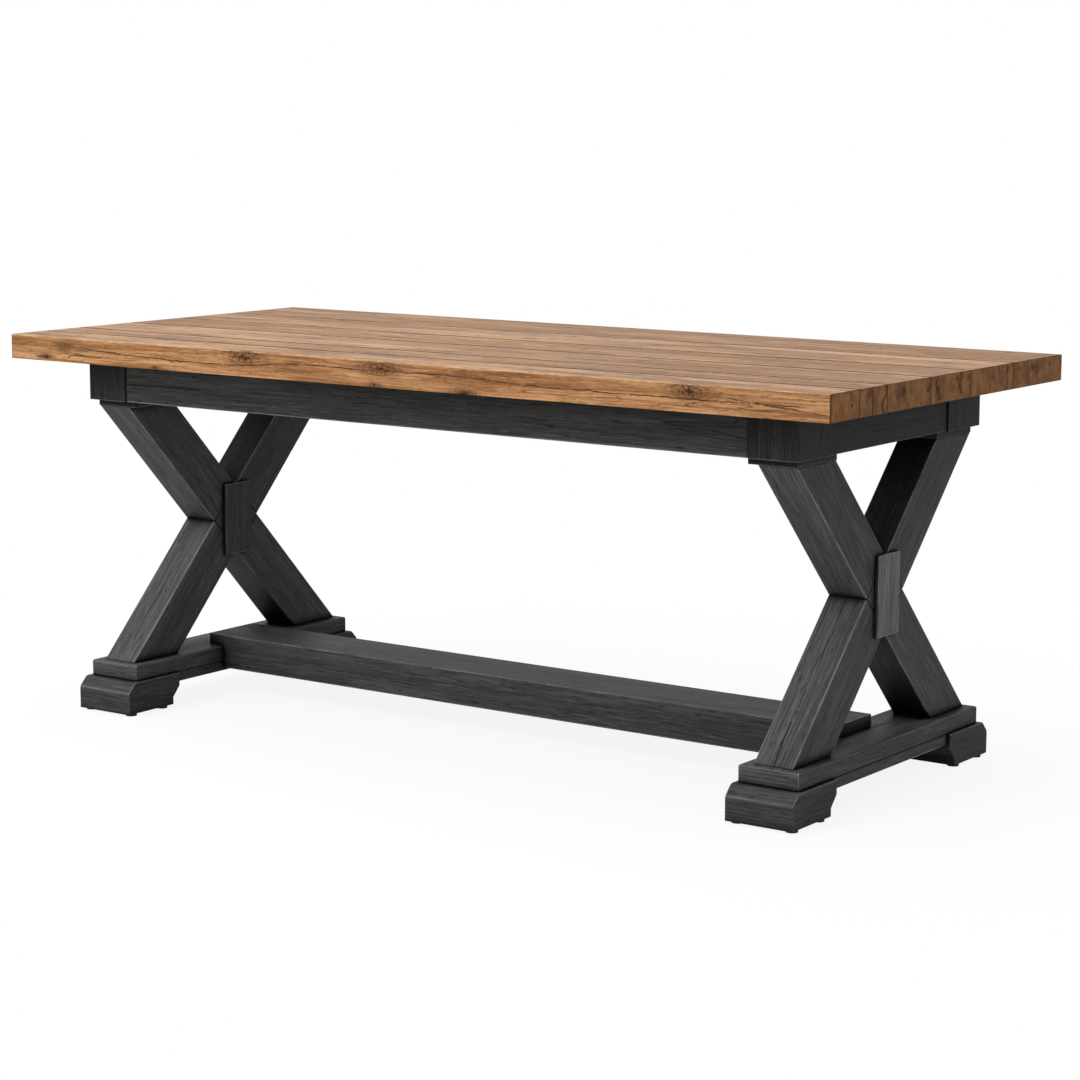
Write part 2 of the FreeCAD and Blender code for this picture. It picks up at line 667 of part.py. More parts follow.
TONGUE_SCREW_X = "Layout.sled_inner + Sizes.tongue_length / 2"


def tongue_screw_spots(end):
    """Places of the two screws up through a sled into a tongue."""
    for step_name, step in PAIR:
        yield step_name, across(end, TONGUE_SCREW_X), f"{step} * Sizes.tongue_screw_pitch / 2"


def make_sled_rails():
    for end_name, end in ENDS:
        low_x = low_corner(end, "Layout.sled_inner", "Layout.sled_inner + Sizes.sled_width")
        name = f"sled_cap_{end_name}"
        cap = profile(f"{name}_board", "XZ_Plane", "-Layout.sled_end", "2 * Layout.sled_end",
                      rectangle(low_x, f"{low_x} + Sizes.sled_width",
                                "Layout.foot_top", "Layout.sled_top"))
        dress(cap, "Fillet", "Sizes.sled_rounding",
              edges_at_height(cap.Tip.Shape, "Layout.sled_top"))
        dress(cap, "Chamfer", "Sizes.arris", edges_at_height(cap.Tip.Shape, "Layout.foot_top"))
        tools = []
        for side_name, side in SIDES:
            tools.append(sled_key(f"{name}_arm_mortise_{side_name}", end, side,
                                  "Sizes.joint_clearance"))
            tools.append(foot_key(f"{name}_foot_mortise_{side_name}", end, side,
                                  "Sizes.joint_clearance"))
        for spot, spot_x, spot_y in tongue_screw_spots(end):
            tools.append(screw_bore(f"{name}_tongue_bore_{spot}", spot_x, spot_y,
                                    "Layout.sled_bottom", "Sizes.tongue_screw_length"))
        finish(cut(name, cap, tools), name)

        name = f"sled_core_{end_name}"
        core = box(f"{name}_board", (low_x, "-Layout.foot_back", "Layout.sled_bottom"),
                   ("Sizes.sled_width", "2 * Layout.foot_back", "Sizes.sled_core_thick"))
        tools = []
        for spot, spot_x, spot_y in tongue_screw_spots(end):
            tools.append(screw_bore(f"{name}_tongue_bore_{spot}", spot_x, spot_y,
                                    "Layout.sled_bottom", "Sizes.tongue_screw_length"))
        finish(cut(name, core, tools), name)


def glide_spots(end, side):
    """Places of the four glides under the corners of a foot."""
    reach_x = "(Sizes.foot_width / 2 - Sizes.glide_inset)"
    for step_name, step in PAIR:
        spot_x = f"{end} * Layout.frame_x + {step} * {reach_x}"
        yield (f"{step_name}_toe", spot_x,
               across(side, "Layout.foot_front - Sizes.glide_setback"))
        yield (f"{step_name}_heel", spot_x,
               across(side, "Layout.heel_back + Sizes.glide_setback"))


def make_feet():
    glides = []
    for end_name, end in ENDS:
        low_x = f"{end} * Layout.frame_x - Sizes.foot_width / 2"
        for side_name, side in SIDES:
            name = f"foot_{side_name}_{end_name}"
            corners = [
                (across(side, "Layout.foot_front"), "Sizes.glide_thick"),
                (across(side, "Layout.foot_front"), "Layout.foot_top - Sizes.toe_drop"),
                (across(side, "Layout.foot_front - Sizes.toe_run"), "Layout.foot_top"),
                (across(side, "Layout.foot_back"), "Layout.foot_top"),
                (across(side, "Layout.foot_back"), "Layout.foot_top - Sizes.heel_upright"),
                (across(side, "Layout.heel_back"), "Sizes.glide_thick + Sizes.heel_low"),
                (across(side, "Layout.heel_back"), "Sizes.glide_thick"),
            ]
            body = profile(f"{name}_block", "YZ_Plane", low_x, "Sizes.foot_width", corners)
            toe_y = float(layout.evalExpression("Layout.foot_front - Sizes.toe_run"))
            toe_z = float(layout.evalExpression("Layout.foot_top - Sizes.toe_drop"))
            slope = edges_where(body.Tip.Shape, lambda point: side * point.y > toe_y - TOUCHING
                                and point.z > toe_z - TOUCHING)
            across_foot = edges_along(body.Tip.Shape, AXES["YZ_Plane"])
            dress(body, "Fillet", "Sizes.toe_radius",
                  [edge for edge in slope if edge in across_foot])
            dress(body, "Chamfer", "Sizes.arris", edges_around_faces(body.Tip.Shape))
            mortise = foot_key(f"{name}_mortise", end, side, "Sizes.joint_clearance")
            finish(cut(name, body, [mortise]), name)
            for spot, spot_x, spot_y in glide_spots(end, side):
                glides.append(cylinder(f"{name}_glide_{spot}", (spot_x, spot_y, "0"),
                                       "Sizes.glide_radius", "Sizes.glide_thick"))
    finish(group("glides", glides), "glides")


# ---------------------------------------------------------------------------------------------
# Stretcher, with a tongue on each sled
# ---------------------------------------------------------------------------------------------

def make_stretcher():
    half = "Sizes.stretcher_width / 2"
    beam = timber("stretcher_beam", "YZ_Plane", "-Layout.sled_inner", "2 * Layout.sled_inner",
                  rectangle(f"-{half}", half, "Layout.stretcher_bottom", "Layout.stretcher_top"))
    screws, tools = [], []
    for end_name, end in ENDS:
        low_x = low_corner(end, "Layout.sled_inner", "Layout.tongue_end")
        tongue = box(f"stretcher_tongue_{end_name}",
                     (low_x, f"-{half} + Sizes.tongue_shoulder", "Layout.sled_top"),
                     ("Sizes.tongue_length", f"2 * ({half} - Sizes.tongue_shoulder)",
                      "Sizes.tongue_thick"))
        beam = fuse(f"stretcher_with_{end_name}_tongue", beam, tongue)
        for spot, spot_x, spot_y in tongue_screw_spots(end):
            place = (spot_x, spot_y, "Layout.sled_bottom", "Sizes.tongue_screw_length")
            tools.append(screw_bore(f"stretcher_bore_{end_name}_{spot}", *place))
            screws.append(screw(f"stretcher_screw_{end_name}_{spot}", *place))
    finish(cut("stretcher", beam, tools), "stretcher")
    finish(group("stretcher_screws", screws), "stretcher_screws")


make_planks()
make_battens()
make_long_rails()
make_end_rails()
make_corners()
make_arms()
make_cores()
make_covers()
make_keys()
make_sled_rails()
make_feet()
make_stretcher()

doc.recompute()
for item in doc.Objects:
    for state in ("Invalid", "Error"):
        if state in item.State:
            raise RuntimeError(f"{item.Name} is {state}")
os.makedirs("parts", exist_ok=True)
for node in nodes:
    if node.Shape.isNull() or not node.Shape.isValid():
        raise RuntimeError(f"{node.Label} has no valid shape")
    node.Shape.exportStep(f"parts/{node.Label}.step")
print(len(nodes), "sub-parts")
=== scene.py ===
import math
from collections import namedtuple
from functools import reduce

import bpy
from mathutils import Euler, Matrix, Vector


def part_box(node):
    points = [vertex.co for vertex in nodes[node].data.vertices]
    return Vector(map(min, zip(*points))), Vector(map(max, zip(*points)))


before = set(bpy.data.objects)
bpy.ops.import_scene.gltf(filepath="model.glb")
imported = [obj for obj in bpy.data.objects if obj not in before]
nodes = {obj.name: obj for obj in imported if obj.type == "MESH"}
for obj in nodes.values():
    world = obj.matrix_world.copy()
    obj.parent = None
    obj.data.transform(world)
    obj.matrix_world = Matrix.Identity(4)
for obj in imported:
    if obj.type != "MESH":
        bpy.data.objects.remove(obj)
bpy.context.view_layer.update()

# Sawbuck table: X along the table, -Y its front, Z up, in metres. The CAD solids are the whole
# shape: this script dresses them, and adds a floor, a camera and the light.


# ---------------------------------------------------------------------------------------------
# Colours
# ---------------------------------------------------------------------------------------------

def srgb(red, green, blue):
    """A colour as it is seen on a screen, 0 to 255, as the linear colour that a shader takes."""
    linear = []
    for level in (red / 255, green / 255, blue / 255):
        linear.append(level / 12.92 if level <= 0.04045 else ((level + 0.055) / 1.055) ** 2.4)
    return (*linear, 1.0)


# Old pine where it is sheltered, on the edges and ends.
OLD_PALE = srgb(180, 135, 92)
OLD_HONEY = srgb(152, 108, 71)
OLD_BROWN = srgb(112, 73, 42)
OLD_KNOT = srgb(80, 50, 29)
# Dark for knot hearts, cracks and seams, and for the painted shade in crevices.
OLD_DARK_AND_SHADE = srgb(40, 24, 13)
# A painted highlight for the top's long arrises.
ARRIS_HIGHLIGHT = srgb(210, 172, 130)
OLD_CORNER = srgb(50, 30, 17)
# Old pine on the top, bleached by light and scrubbing.
TOP_PALE = srgb(181, 145, 113)
TOP_MIDDLE = srgb(154, 121, 93)
TOP_BROWN = srgb(126, 94, 68)
TOP_GREY = srgb(114, 97, 84)
TOP_STREAK = srgb(70, 55, 44)
UNDERSIDE = srgb(86, 74, 64)
# The sawn ends of the planks.
END_DARK = srgb(92, 60, 33)
END_MIDDLE = srgb(120, 80, 46)
END_PALE = srgb(144, 100, 60)
END_PORE = srgb(64, 40, 22)
END_FLECK = srgb(168, 124, 80)
END_STAIN = srgb(26, 15, 8)
# Pine under the charcoal stain of the base.
STAIN_DARK = srgb(53, 53, 53)
STAIN_MIDDLE = srgb(63, 63, 62)
STAIN_PALE = srgb(75, 75, 73)
STAIN_DARK_LINE = srgb(41, 41, 41)
STAIN_PALE_LINE = srgb(104, 103, 100)
STAIN_FIBRE = srgb(100, 99, 96)
STAIN_DASH = srgb(26, 26, 26)
# Lighter edges: rubbed wear with a painted highlight; a painted highlight on the toes; near black
# for cracks and joints and for painted shade.
EDGE_WEAR_AND_HIGHLIGHT = srgb(192, 187, 177)
TOE_HIGHLIGHT = srgb(184, 184, 182)
STAIN_BLACK_AND_SHADE = srgb(10, 10, 10)
# Planed bare wood, zinc plate and rubber.
BATTEN_PALE = srgb(196, 158, 112)
BATTEN_DARK = srgb(148, 106, 66)
TENON_PALE = srgb(214, 182, 136)
TENON_DARK = srgb(176, 136, 92)
ZINC_DARK = srgb(150, 148, 142)
ZINC_PALE = srgb(186, 184, 178)
RUBBER = srgb(28, 28, 28)
RUBBER_SCUFF = srgb(60, 59, 57)
# The studio.
WHITE = (1.0, 1.0, 1.0, 1.0)
FLOOR_PAINT = (0.8, 0.8, 0.8, 1.0)


# ---------------------------------------------------------------------------------------------
# A short way to write shader nodes
# ---------------------------------------------------------------------------------------------

class NodeTree:
    """A tree of shader nodes. Apart from add and feed, a method returns an output socket."""

    def __init__(self, tree):
        self.tree = tree
        self.tree.nodes.clear()

    def add(self, kind, inputs=None, **settings):
        """Add a node with these settings and inputs, the inputs by their name or number."""
        node = self.tree.nodes.new(kind)
        for key, value in settings.items():
            setattr(node, key, value)
        for key, value in (inputs or {}).items():
            self.feed(node.inputs[key], value)
        return node

    def feed(self, socket, value):
        """Put a number, a vector, a colour or another node's output into a socket."""
        if isinstance(value, bpy.types.NodeSocket):
            self.tree.links.new(value, socket)
        else:
            socket.default_value = value

    def math(self, operation, *values):
        return self.add("ShaderNodeMath", dict(enumerate(values)), operation=operation).outputs[0]

    def chain(self, operation, values):
        """One operation over all of the values, from the first to the last."""
        return reduce(lambda result, value: self.math(operation, result, value), values)

    def times(self, *values):
        return self.chain("MULTIPLY", values)

    def largest(self, *values):
        return self.chain("MAXIMUM", values)

    def smallest(self, *values):
        return self.chain("MINIMUM", values)

    def minus(self, value, other):
        return self.math("SUBTRACT", value, other)

    def absolute(self, value):
        return self.math("ABSOLUTE", value)

    def apart(self, value, other):
        """How far two values lie apart."""
        return self.absolute(self.minus(value, other))

    def shaken(self, value, noise, reach, origin=0.0):
        """A value, measured from an origin and shaken by a noise: over the reach in all."""
        return self.math("MULTIPLY_ADD", noise, reach, self.minus(value, origin + reach / 2))

    def vector(self, operation, *values):
        node = self.add("ShaderNodeVectorMath", dict(enumerate(values)), operation=operation)
        is_number = operation in ("LENGTH", "DOT_PRODUCT")
        return node.outputs["Value" if is_number else "Vector"]

    def scaled(self, vector, factor):
        node = self.add("ShaderNodeVectorMath", {0: vector, "Scale": factor}, operation="SCALE")
        return node.outputs["Vector"]

    def join(self, x, y, z):
        return self.add("ShaderNodeCombineXYZ", {"X": x, "Y": y, "Z": z}).outputs[0]

    def split(self, vector):
        """A vector's three parts, as three sockets."""
        node = self.add("ShaderNodeSeparateXYZ", {0: vector})
        return node.outputs["X"], node.outputs["Y"], node.outputs["Z"]

    def mapping(self, vector, location=(0, 0, 0), rotation=(0, 0, 0), scale=(1, 1, 1)):
        inputs = {"Vector": vector, "Location": location, "Rotation": rotation, "Scale": scale}
        return self.add("ShaderNodeMapping", inputs).outputs[0]

    def noise(self, vector, scale, detail=2.0, roughness=0.5, shift=(0, 0, 0)):
        """Noise of 0 to 1, with a frequency along each axis, in cells per metre."""
        inputs = {"Vector": self.mapping(vector, location=shift, scale=scale), "Scale": 1.0,
                  "Detail": detail, "Roughness": roughness}
        return self.add("ShaderNodeTexNoise", inputs).outputs["Fac"]

    def step(self, value, low, high, at_low, at_high):
        """A smooth step between two results, clamped: one at low and the other at high."""
        inputs = {"Value": value, "From Min": low, "From Max": high, "To Min": at_low,
                  "To Max": at_high}
        node = self.add("ShaderNodeMapRange", inputs, interpolation_type="SMOOTHSTEP")
        return node.outputs["Result"]

    def rise(self, value, low, high, top=1.0):
        """A smooth step up, from 0 at low to the top at high."""
        return self.step(value, low, high, 0.0, top)

    def fall(self, value, low, high, top=1.0):
        """A smooth step down, from the top at low to 0 at high."""
        return self.step(value, low, high, top, 0.0)

    def ramp(self, value, low, middle, high):
        """Three colours, spread evenly over 0 to 1."""
        node = self.add("ShaderNodeValToRGB", {0: value})
        elements = node.color_ramp.elements
        elements.new(0.5)
        for element, colour in zip(elements, (low, middle, high)):
            element.color = colour
        return node.outputs["Color"]

    def mix(self, factor, first, second, kind="RGBA"):
        """Two colours, or two values of another kind, mixed by the factor."""
        inputs = {"Factor": factor, "A": first, "B": second}
        return self.add("ShaderNodeMix", inputs, data_type=kind).outputs["Result"]

    def seen_or_mirrored(self):
        """1 for rays from the camera and from mirrored or clear surfaces, 0 for all others."""
        path = self.add("ShaderNodeLightPath").outputs
        return self.largest(path["Is Camera Ray"], path["Is Glossy Ray"],
                            path["Is Transmission Ray"])


class Shader(NodeTree):
    """A material's node tree, with the normal and the place of the point that is shaded."""

    BEVEL_SAMPLES = 6
    OPENNESS_SAMPLES = 10

    def __init__(self, name):
        self.material = bpy.data.materials.new(name)
        self.material.use_nodes = True
        super().__init__(self.material.node_tree)
        self.normal = self.add("ShaderNodeNewGeometry").outputs["Normal"]
        self.place = self.add("ShaderNodeTexCoord").outputs["Object"]

    def rounded_normal(self, radius):
        """The normal as it would be with the edges rounded to this radius."""
        bevel = self.add("ShaderNodeBevel", {"Radius": radius}, samples=self.BEVEL_SAMPLES)
        return bevel.outputs[0]

    def edge_wear_and_highlight(self, radius):
        """0 on flat faces, rising on outer edges within the radius, less on upright ones."""
        rounded = self.rounded_normal(radius)
        alike = self.vector("DOT_PRODUCT", rounded, self.normal)
        tilt = self.absolute(self.split(rounded)[2])
        return self.times(self.rise(alike, 0.995, 0.88), self.step(tilt, 0.1, 0.35, 0.3, 1.0))

    def openness(self, distance):
        """1 in the open, falling to 0 where faces meet within the distance."""
        node = self.add("ShaderNodeAmbientOcclusion", {"Distance": distance},
                        samples=self.OPENNESS_SAMPLES)
        return node.outputs["AO"]

    def bump(self, relief, distance):
        return self.add("ShaderNodeBump", {"Height": relief, "Distance": distance}).outputs[0]

    def finish(self, colour, roughness, normal, specular=0.5, metallic=0.0):
        """Make the surface, and return the material."""
        inputs = {"Base Color": colour, "Roughness": roughness, "Normal": normal,
                  "Specular IOR Level": specular, "Metallic": metallic}
        surface = self.add("ShaderNodeBsdfPrincipled", inputs)
        self.add("ShaderNodeOutputMaterial", {"Surface": surface.outputs[0]})
        return self.material


# ---------------------------------------------------------------------------------------------
# Grain and cracks: the grain of every timber runs along the x of its own grain space
# ---------------------------------------------------------------------------------------------

# Grain directions, as the rotation that brings them onto x.
ALONG_X = (0.0, 0.0, 0.0)
ALONG_Y = (0.0, 0.0, -math.pi / 2)
ALONG_Z = (0.0, math.pi / 2, 0.0)

# How much longer than high the region is where a knot bends the grain.
KNOT_STRETCH = 2.8
# The whole width that a drawn crack may wander over, and how far it wiggles on its way.
CRACK_SWING = 0.06
CRACK_WIGGLE = 0.006
# How deep a crack lies, against the relief of the grain.
CRACK_DEPTH = 2.5


def drifting(shader, point, reach, scale):
    """The point, pushed slowly to and fro across the grain, so that the grain wanders."""
    first = shader.noise(point, scale)
    second = shader.noise(point, scale, shift=(17.3, 5.9, 3.1))
    push = shader.vector("MULTIPLY_ADD", shader.join(0.5, first, second),
                         (2 * reach, 2 * reach, 2 * reach), (-reach, -reach, -reach))
    return shader.vector("ADD", point, push)


def around_knot(shader, point, centre, size):
    """The point pulled to a knot's middle, so that the grain flows around it, and the reach."""
    offset = shader.vector("SUBTRACT", point, centre)
    reach = shader.vector("LENGTH", shader.vector("DIVIDE", offset,
                                                  (KNOT_STRETCH * size, size, size)))
    pull = shader.fall(reach, 0.2, 2.2, 0.8)
    return shader.vector("SUBTRACT", point, shader.scaled(offset, pull)), reach


def hairlines(shader, grain, scale, width, gate):
    """Long thin cracks along the grain: the level lines of a stretched noise, in places."""
    field = shader.noise(grain, scale, 3.0, 0.6)
    line = shader.fall(shader.apart(field, 0.5), 0.2 * width, width)
    patches = (2.3 * scale[0], 0.4 * scale[1], 0.4 * scale[2])
    broken = shader.noise(grain, patches, 2.0, shift=(3.3, 8.1, 2.7))
    return shader.times(line, shader.rise(broken, gate, gate + 0.08))


def drawn_crack(shader, along, across, points, width):
    """A dark line through a few points, given by their places along and across the grain."""
    first, last = points[0][0], points[-1][0]
    bends = [((place - first) / (last - first), 0.5 + level / CRACK_SWING)
             for place, level in points]
    curve = shader.add("ShaderNodeFloatCurve")
    dots = curve.mapping.curves[0].points
    for bend in bends[1:-1]:
        dots.new(*bend)
    dots[0].location = bends[0]
    dots[len(dots) - 1].location = bends[-1]
    curve.mapping.update()
    share = shader.math("DIVIDE", shader.minus(along, first), last - first)
    shader.feed(curve.inputs["Value"], shader.smallest(shader.largest(share, 0.0), 1.0))
    path = shader.times(shader.minus(curve.outputs[0], 0.5), CRACK_SWING)
    ends = shader.times(shader.rise(share, -0.01, 0.02), shader.fall(share, 0.98, 1.01))
    return shader.times(ends, shader.fall(shader.apart(across, path), 0.3 * width, width))


def split_along(shader, rotation, axis, points, width):
    """A crack through places on a timber's surface: a line along its grain, across an axis."""
    to_grain = Euler(rotation).to_matrix()
    places = [to_grain @ Vector(point) for point in points]
    middle = sum(place[axis] for place in places) / len(places)
    path = sorted((place.x, place[axis] - middle) for place in places)
    wiggle = shader.noise(shader.place, (60.0, 60.0, 60.0), 3.0, 0.65)
    turned = shader.split(shader.mapping(shader.place, rotation=rotation))
    across = shader.shaken(turned[axis], wiggle, CRACK_WIGGLE, middle)
    return drawn_crack(shader, turned[0], across, path, width)


# ---------------------------------------------------------------------------------------------
# The top: old oiled pine
# ---------------------------------------------------------------------------------------------

PLANK_COUNT = 6
back_plank_low, back_plank_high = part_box("top_plank_6")
TOP_HALF_LENGTH = back_plank_high.x
TOP_HALF_WIDTH = back_plank_high.y
# The height of the middle of the top's thickness, which the marks on it are measured from.
TOP_CENTRE = (back_plank_low.z + back_plank_high.z) / 2
# How much paler or darker than the others each plank is, from the front.
PLANK_TONES = (0.10, -0.03, 0.02, -0.03, 0.04, -0.05)

# Knots on the front edge of the front plank: how far along it, how far up, and how wide.
FRONT_KNOTS = (
    (-0.836, -0.016, 0.005), (-0.786, 0.005, 0.005), (-0.545, -0.021, 0.003),
    (-0.320, 0.012, 0.011), (0.002, 0.010, 0.010), (-0.010, -0.020, 0.004),
    (0.195, -0.023, 0.007), (0.663, 0.012, 0.010),
)
# Cracks that wander along the front edge: how far along and up each point is, and their width.
FRONT_CRACKS = (
    (((-0.743, 0.006), (-0.507, -0.004), (-0.343, -0.004), (-0.184, 0.006), (-0.019, 0.006),
      (0.206, 0.006), (0.314, 0.000), (0.482, -0.001), (0.663, -0.002), (0.799, -0.002),
      (0.890, -0.001)), 0.0013),
    (((0.740, 0.004), (0.840, -0.005), (0.925, -0.011)), 0.0012),
)
# Nail holes and stains on the ends: across, up, radius, depth of colour.
END_MARKS = (
    (-0.361, -0.001, 0.004, 0.9), (-0.300, 0.014, 0.009, 0.5), (-0.183, 0.008, 0.010, 0.75),
    (-0.200, 0.000, 0.014, 0.35), (-0.097, 0.003, 0.005, 1.0), (-0.062, 0.000, 0.009, 0.7),
    (-0.058, -0.012, 0.014, 0.5), (0.010, 0.014, 0.007, 0.7), (0.020, 0.001, 0.005, 1.0),
    (0.052, 0.012, 0.009, 0.6), (0.150, 0.006, 0.004, 0.6), (0.204, 0.014, 0.006, 0.5),
    (0.252, 0.012, 0.005, 0.7), (0.305, 0.010, 0.009, 0.8), (0.318, 0.004, 0.013, 0.4),
    (0.377, 0.010, 0.004, 1.0),
)
# Cracks down the ends: the place across, how far up and aside each point is, and the width.
END_SPLITS = (
    (-0.250, ((-0.025, -0.004), (-0.010, -0.009), (0.002, -0.003), (0.012, 0.006),
              (0.024, 0.001)), 0.0040),
    (-0.293, ((-0.025, 0.000), (0.002, 0.002), (0.024, -0.001)), 0.0022),
    (-0.062, ((-0.018, 0.006), (-0.002, 0.000), (0.012, -0.005), (0.024, 0.003)), 0.0036),
    (0.022, ((-0.014, 0.005), (0.004, -0.003), (0.014, 0.004), (0.024, -0.003)), 0.0038),
    (0.204, ((-0.025, 0.001), (0.002, -0.001), (0.024, 0.001)), 0.0018),
)

# How far on in the grain each next plank is cut, so that no two look alike.
PLANK_STEP = (3.7, 0.61, 0.0)
# Dark lines, full at the first distance and gone at the second: the seams on the ends and
# underneath, the dirt beside the seams on top, and the upright corners of the top.
SEAM_LINE = (0.0008, 0.0024)
SEAM_DIRT = (-0.0005, 0.0025)
CORNER_LINE = (0.001, 0.0035)
# How far the chipped edge of the dirt strays from the seam.
SEAM_CHIP = 0.0074
# How far in from a plank's edge the painted highlight of its arris shows, and how near a crevice
# gets painted shade.
ARRIS_HIGHLIGHT_RADIUS = 0.0025
TOP_CREVICE_SHADE = 0.012
# How high the fibres stand.
TOP_RELIEF = 0.0005

Faces = namedtuple("Faces", "top end front under")


def plank_faces(shader):
    """How much a point belongs to each kind of face of a plank, from 0 to 1."""
    x, y, z = shader.split(shader.normal)
    return Faces(top=shader.rise(z, 0.5, 0.9), end=shader.rise(shader.absolute(x), 0.6, 0.9),
                 front=shader.fall(y, -0.9, -0.6), under=shader.fall(z, -0.9, -0.5))


def plank_grain(shader, number, knots):
    """A plank's grain space, pulled in around its knots, and each knot's reach."""
    point = shader.place
    reaches = []
    for centre, size in knots:
        point, reach = around_knot(shader, point, centre, size)
        reaches.append(reach)
    point = shader.mapping(point, location=[number * step for step in PLANK_STEP])
    return drifting(shader, point, 0.008, (3.0, 9.0, 9.0)), reaches


def with_pores(shader, colour, grain, pale):
    """Fine dark pores and pale flecks over a planed face."""
    pores = shader.noise(grain, (75.0, 380.0, 380.0), 3.0, 0.72, shift=(5.0, 4.0, 6.0))
    colour = shader.mix(shader.rise(pores, 0.53, 0.68, 0.5), colour, OLD_BROWN)
    return shader.mix(shader.fall(pores, 0.32, 0.46, 0.4), colour, pale)


def edge_colour(shader, grain):
    """The planks' long edges: honey-coloured, finely lined, with short dark fibres."""
    slow = shader.noise(grain, (2.2, 16.0, 22.0), 4.0, 0.6)
    growth = shader.noise(grain, (2.4, 80.0, 110.0), 4.0, 0.62)
    lines = shader.noise(grain, (8.0, 300.0, 330.0), 3.0, 0.65)
    dash = shader.noise(grain, (34.0, 170.0, 260.0), 3.0, 0.7, shift=(7.0, 2.0, 5.0))
    colour = shader.ramp(shader.rise(shader.math("MULTIPLY_ADD", slow, 1.2, growth), 0.85, 1.35),
                         OLD_BROWN, OLD_HONEY, OLD_PALE)
    colour = shader.mix(shader.fall(lines, 0.38, 0.52, 0.7), colour, OLD_BROWN)
    colour = shader.mix(shader.rise(lines, 0.56, 0.7, 0.6), colour, OLD_PALE)
    colour = with_pores(shader, colour, grain, OLD_PALE)
    return shader.mix(shader.rise(dash, 0.58, 0.68, 0.65), colour, OLD_KNOT)


def top_colour(shader, grain, tone):
    """The planks' upper faces: paler, with grey weathered patches full of dark streaks."""
    slow = shader.noise(grain, (1.5, 14.0, 14.0), 4.0, 0.6, shift=(1.0, 6.0, 2.0))
    patch = shader.noise(grain, (5.0, 30.0, 30.0), 4.0, 0.66, shift=(4.0, 2.0, 0.0))
    streak = shader.noise(grain, (16.0, 85.0, 85.0), 4.0, 0.7)
    growth = shader.noise(grain, (1.8, 75.0, 75.0), 4.0, 0.62, shift=(2.0, 2.0, 9.0))
    lines = shader.noise(grain, (5.0, 240.0, 240.0), 3.0, 0.62)
    sawn = shader.noise(grain, (90.0, 15.0, 15.0), 3.0, 0.65, shift=(0.0, 3.0, 8.0))
    colour = shader.ramp(shader.rise(shader.math("ADD", slow, tone), 0.32, 0.68),
                         TOP_BROWN, TOP_MIDDLE, TOP_PALE)
    colour = shader.mix(shader.rise(patch, 0.5, 0.62, 0.7), colour, TOP_GREY)
    colour = shader.mix(shader.fall(patch, 0.3, 0.42, 0.5), colour, OLD_PALE)
    colour = shader.mix(shader.fall(growth, 0.36, 0.54, 0.55), colour, TOP_BROWN)
    colour = shader.mix(shader.rise(growth, 0.58, 0.72, 0.5), colour, TOP_PALE)
    colour = shader.mix(shader.fall(lines, 0.36, 0.5, 0.5), colour, TOP_BROWN)
    saw_marks = shader.times(shader.fall(sawn, 0.36, 0.5), shader.rise(patch, 0.46, 0.58, 0.26))
    colour = shader.mix(saw_marks, colour, TOP_STREAK)
    dark = shader.times(shader.rise(streak, 0.53, 0.66), shader.step(patch, 0.4, 0.56, 0.15, 0.8))
    return with_pores(shader, shader.mix(dark, colour, TOP_STREAK), grain, TOP_PALE)


def end_colour(shader, number):
    """Sawn ends: brown, finely pitted and blotched by the oil."""
    mottle = shader.noise(shader.place, (1.0, 30.0, 22.0), 6.0, 0.68, shift=(0.0, number, 0.0))
    pores = shader.noise(shader.place, (1.0, 320.0, 110.0), 3.0, 0.68)
    colour = shader.ramp(shader.rise(mottle, 0.3, 0.66), END_DARK, END_MIDDLE, END_PALE)
    colour = shader.mix(shader.rise(pores, 0.5, 0.7, 0.4), colour, END_PORE)
    return shader.mix(shader.fall(pores, 0.3, 0.45, 0.4), colour, END_FLECK)


def with_marks(shader, colour, marks):
    """Stains and nail holes on an end: across, up, radius, depth of colour."""
    ragged = shader.noise(shader.place, (1.0, 150.0, 120.0), 4.0, 0.7)
    for across, up, size, strength in marks:
        offset = shader.vector("SUBTRACT", shader.place, (0.0, across, TOP_CENTRE + up))
        reach = shader.vector("LENGTH", shader.vector("MULTIPLY", offset,
                                                      (0.0, 1 / size, 1 / size)))
        rough = shader.shaken(reach, ragged, 1.3)
        colour = shader.mix(shader.fall(rough, 0.3, 1.2, strength), colour, END_STAIN)
    return colour


def with_knots(shader, colour, reach):
    """Knots: rings that close around each, a ragged dark heart and specks of bark."""
    ragged = shader.noise(shader.place, (90.0, 90.0, 150.0), 4.0, 0.72)
    torn = shader.shaken(reach, ragged, 1.8)
    near = shader.fall(torn, 0.3, 2.8)
    rings = shader.math("SINE", shader.math("MULTIPLY_ADD", reach, 13.0,
                                            shader.times(ragged, 8.0)))
    colour = shader.mix(shader.times(near, 0.55), colour, OLD_KNOT)
    colour = shader.mix(shader.times(shader.rise(rings, 0.1, 0.9), near, 0.5), colour, OLD_KNOT)
    specks = shader.noise(shader.place, (170.0, 170.0, 280.0), 2.0, 0.6, shift=(3.0, 1.0, 2.0))
    bark = shader.times(shader.rise(specks, 0.5, 0.6), shader.fall(torn, 0.4, 1.6, 0.95))
    colour = shader.mix(bark, colour, OLD_DARK_AND_SHADE)
    return shader.mix(shader.fall(torn, 0.05, 0.4, 0.95), colour, OLD_DARK_AND_SHADE)


